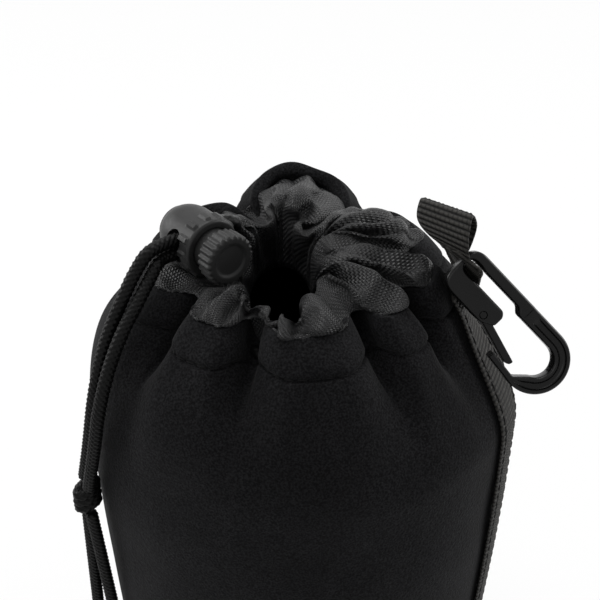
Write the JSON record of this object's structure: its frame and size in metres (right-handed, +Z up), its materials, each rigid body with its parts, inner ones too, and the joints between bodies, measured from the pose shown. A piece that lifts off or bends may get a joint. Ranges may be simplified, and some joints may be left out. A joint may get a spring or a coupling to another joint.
{
  "type": "drawstring lens pouch",
  "caption": "Padded round drawstring pouch for a camera lens, with a gathered lined mouth, a sprung cord lock on a knotted cord, and a webbing strap whose loop holds a snap hook.",
  "frame": {"origin": "centre of the base's underside, where the pouch stands", "axes": "+Z up, -Y the side that faces the viewer, +X towards the strap and the snap hook"},
  "size_m": [0.1334, 0.1208, 0.1834],
  "materials": {
    "neoprene": "fine knit face on foam",
    "plush": "short black pile",
    "binding": "woven tape",
    "nylon": "oxford weave, slight sheen",
    "braid": "round braid",
    "webbing": "ribbed webbing",
    "acetal": "satin moulded",
    "hook": "satin moulded",
    "steel": "drawn wire"
  },
  "bodies": {
    "pouch": {"neoprene_wall": "neoprene", "base_disc": "neoprene", "lining_base": "plush", "lining_sleeve": "plush", "base_binding": "binding", "drawcord_ring": "braid", "drawstring_casing": "nylon", "cord_strand_outer": "braid", "cord_strand_inner": "braid", "cord_knot": "braid", "cord_tail_outer": "braid", "cord_tail_inner": "braid", "side_strap": "webbing"},
    "cord_lock": {"lock_barrel": "acetal", "lock_spring": "steel"},
    "plunger": {"lock_plunger": "acetal"},
    "loop": {"hang_loop": "webbing"},
    "carabiner": {"carabiner_body": "hook"},
    "gate": {"carabiner_gate": "hook"}
  },
  "joints": [
    {"name": "lock_slide", "type": "slide", "parent": "pouch", "child": "cord_lock", "axis": [-0.7826, -0.6225, 0], "range_m": [0, 0.0025]},
    {"name": "plunger_press", "type": "slide", "parent": "cord_lock", "child": "plunger", "axis": [-0.6225, 0.7826, 0], "range_m": [0, 0.0026], "stiffness_N_per_m": 400, "springref_m": -0.004, "deforming": ["lock_spring"]},
    {"name": "loop_swing", "type": "hinge", "parent": "pouch", "child": "loop", "pos_m": [0.04522, -0.0114, 0.1554], "axis": [-0.1736, -0.9848, 0], "range_deg": [-10, 4], "stiffness_Nm_per_rad": 0.03},
    {"name": "carabiner_swing", "type": "hinge", "parent": "loop", "child": "carabiner", "pos_m": [0.04403, -0.01912, 0.16742], "axis": [-0.7175, -0.3257, -0.6157], "range_deg": [0, 16]},
    {"name": "gate_open", "type": "hinge", "parent": "carabiner", "child": "gate", "pos_m": [0.04637, -0.0236, 0.15757], "axis": [0.0479, -0.9049, 0.4229], "range_deg": [0, 20], "stiffness_Nm_per_rad": 0.02, "springref_deg": -17.19}
  ]
}
